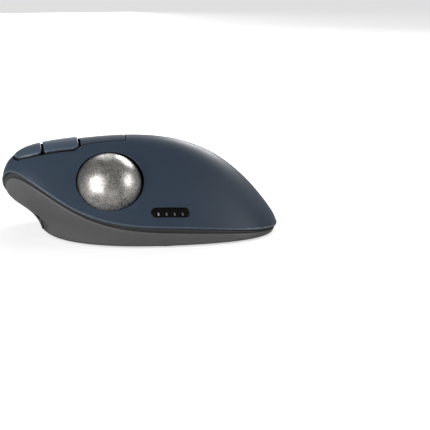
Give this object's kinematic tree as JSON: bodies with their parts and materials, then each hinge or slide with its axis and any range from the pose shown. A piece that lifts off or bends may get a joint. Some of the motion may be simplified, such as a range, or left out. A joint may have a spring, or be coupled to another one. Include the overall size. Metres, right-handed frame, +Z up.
{
  "type": "trackball mouse",
  "caption": "Right-handed wireless trackball mouse: sloped palm shell with thumb ball, click keys, side keys, scroll wheel and grey base",
  "frame": {"origin": "centre of the bounding box on the desk plane, z = 0 at the underside of the feet", "axes": "+X to the user's right, +Y forward from palm to buttons, +Z up; the ball is on the -X (thumb) side"},
  "size_m": [0.1005, 0.145, 0.0533],
  "materials": {
    "shell_plastic": "soft-touch matte navy paint on plastic",
    "key_plastic": "matte slate-blue plastic",
    "strip_plastic": "matte black recessed strip",
    "base_plastic": "satin mid-grey plastic",
    "foot_pad": "black glide pads",
    "blank_label": "blank printed-label stock, nothing written on it",
    "screw_steel": "plated steel screws",
    "ball_lacquer": "speckled silver metallic lacquer on resin",
    "socket_plastic": "black moulded plastic",
    "bearing_ceramic": "white ceramic beads",
    "lens_clear": "clear moulded optics",
    "chip_black": "black moulded packages",
    "board_green": "green circuit board",
    "wheel_plastic": "dark grey wheel hub",
    "tyre_rubber": "black ribbed rubber",
    "axle_steel": "turned steel axle and spring steel",
    "frame_plastic": "grey moulded inner frame",
    "encoder_green": "green encoder housing",
    "plunger_red": "red switch plungers",
    "battery_foil": "foil pouch cell",
    "connector_white": "white connector and lamp housings",
    "shield_steel": "drawn steel shield and sleeve",
    "tongue_black": "black contact tongue",
    "window_black": "dark smoked indicator window",
    "slider_grey": "grey control caps",
    "receiver_black": "black receiver cap"
  },
  "bodies": {
    "casing": {"top_shell": "shell_plastic", "trim_strip": "strip_plastic", "base_shell": "base_plastic", "foot_front": "foot_pad", "foot_left": "foot_pad", "foot_right": "foot_pad", "foot_rear": "foot_pad", "label_plate": "blank_label", "case_screws": "screw_steel", "ball_socket": "socket_plastic", "bearing_upper": "bearing_ceramic", "bearing_rear": "bearing_ceramic", "bearing_front": "bearing_ceramic", "sensor_lens": "lens_clear", "sensor_chip": "chip_black", "sensor_board": "board_green", "wheel_bracket": "frame_plastic", "main_board": "board_green", "board_screws": "screw_steel", "left_switch": "chip_black", "right_switch": "chip_black", "middle_switch": "chip_black", "middle_board": "board_green", "dpi_switch": "chip_black", "forward_switch": "chip_black", "back_switch": "chip_black", "side_button_board": "board_green", "side_board_post": "frame_plastic", "battery": "battery_foil", "battery_connector": "connector_white", "radio_can": "shield_steel", "usb_port": "shield_steel", "usb_tongue": "tongue_black", "usb_board": "board_green", "indicator_lens": "window_black", "indicator_leds": "connector_white", "indicator_board": "board_green", "power_switch": "chip_black", "pairing_switch": "chip_black"},
    "left_key": {"left_button": "shell_plastic"},
    "right_key": {"right_button": "shell_plastic"},
    "forward_key": {"forward_button": "key_plastic"},
    "back_key": {"back_button": "key_plastic"},
    "dpi_key": {"dpi_button": "key_plastic"},
    "ball": {"trackball": "ball_lacquer"},
    "wheel": {"scroll_wheel": "wheel_plastic", "wheel_tyre": "tyre_rubber", "wheel_axle": "axle_steel"},
    "wheel_carriage": {"wheel_carrier": "frame_plastic", "wheel_encoder": "encoder_green", "wheel_spring": "axle_steel"},
    "left_plunger_body": {"left_plunger": "plunger_red"},
    "right_plunger_body": {"right_plunger": "plunger_red"},
    "power_slider": {"power_knob": "slider_grey"},
    "pairing_key": {"pairing_button": "slider_grey"},
    "receiver": {"receiver_cap": "receiver_black", "receiver_plug": "shield_steel"}
  },
  "joints": [
    {"name": "left_click", "type": "hinge", "parent": "casing", "child": "left_key", "pos_m": [-0.008, 0.009, 0.05], "axis": [-1, 0, 0], "range_deg": [0, 1], "stiffness_Nm_per_rad": 0.5, "springref_deg": -0.57},
    {"name": "right_click", "type": "hinge", "parent": "casing", "child": "right_key", "pos_m": [0.022, 0.009, 0.038], "axis": [-1, 0, 0], "range_deg": [0, 1], "stiffness_Nm_per_rad": 0.5, "springref_deg": -0.57},
    {"name": "forward_press", "type": "slide", "parent": "casing", "child": "forward_key", "axis": [0, 0, -1], "range_m": [0, 0.0005], "stiffness_N_per_m": 80, "springref_m": -0.002},
    {"name": "back_press", "type": "slide", "parent": "casing", "child": "back_key", "axis": [0, 0, -1], "range_m": [0, 0.0005], "stiffness_N_per_m": 80, "springref_m": -0.002},
    {"name": "dpi_press", "type": "slide", "parent": "casing", "child": "dpi_key", "axis": [0, 0, -1], "range_m": [0, 0.0005], "stiffness_N_per_m": 80, "springref_m": -0.002},
    {"name": "ball_roll", "type": "hinge", "parent": "casing", "child": "ball", "pos_m": [-0.03, 0.0207, 0.0291], "axis": [1, 0, 0], "continuous": true},
    {"name": "wheel_press", "type": "slide", "parent": "casing", "child": "wheel_carriage", "axis": [-0.4067, 0, -0.9135], "range_m": [0, 0.00055], "stiffness_N_per_m": 300, "springref_m": -0.002},
    {"name": "wheel_spin", "type": "hinge", "parent": "wheel_carriage", "child": "wheel", "pos_m": [0.0041, 0.046, 0.0354], "axis": [0.9135, 0, -0.4067], "continuous": true},
    {"name": "left_plunger_press", "type": "slide", "parent": "casing", "child": "left_plunger_body", "axis": [0, 0, -1], "range_m": [0, 0.0005]},
    {"name": "right_plunger_press", "type": "slide", "parent": "casing", "child": "right_plunger_body", "axis": [0, 0, -1], "range_m": [0, 0.0005]},
    {"name": "power_slide", "type": "slide", "parent": "casing", "child": "power_slider", "axis": [0, 1, 0], "range_m": [0, 0.0038]},
    {"name": "pairing_press", "type": "slide", "parent": "casing", "child": "pairing_key", "axis": [0, 0, 1], "range_m": [0, 0.0002], "stiffness_N_per_m": 15, "springref_m": -0.002},
    {"name": "receiver_out", "type": "slide", "parent": "casing", "child": "receiver", "axis": [0, 0, -1], "range_m": [0, 0.012]}
  ],
  "couplings": [
    {"joint": "left_plunger_press", "follows": "left_click", "m_per_rad": 0.021},
    {"joint": "right_plunger_press", "follows": "right_click", "m_per_rad": 0.021}
  ]
}
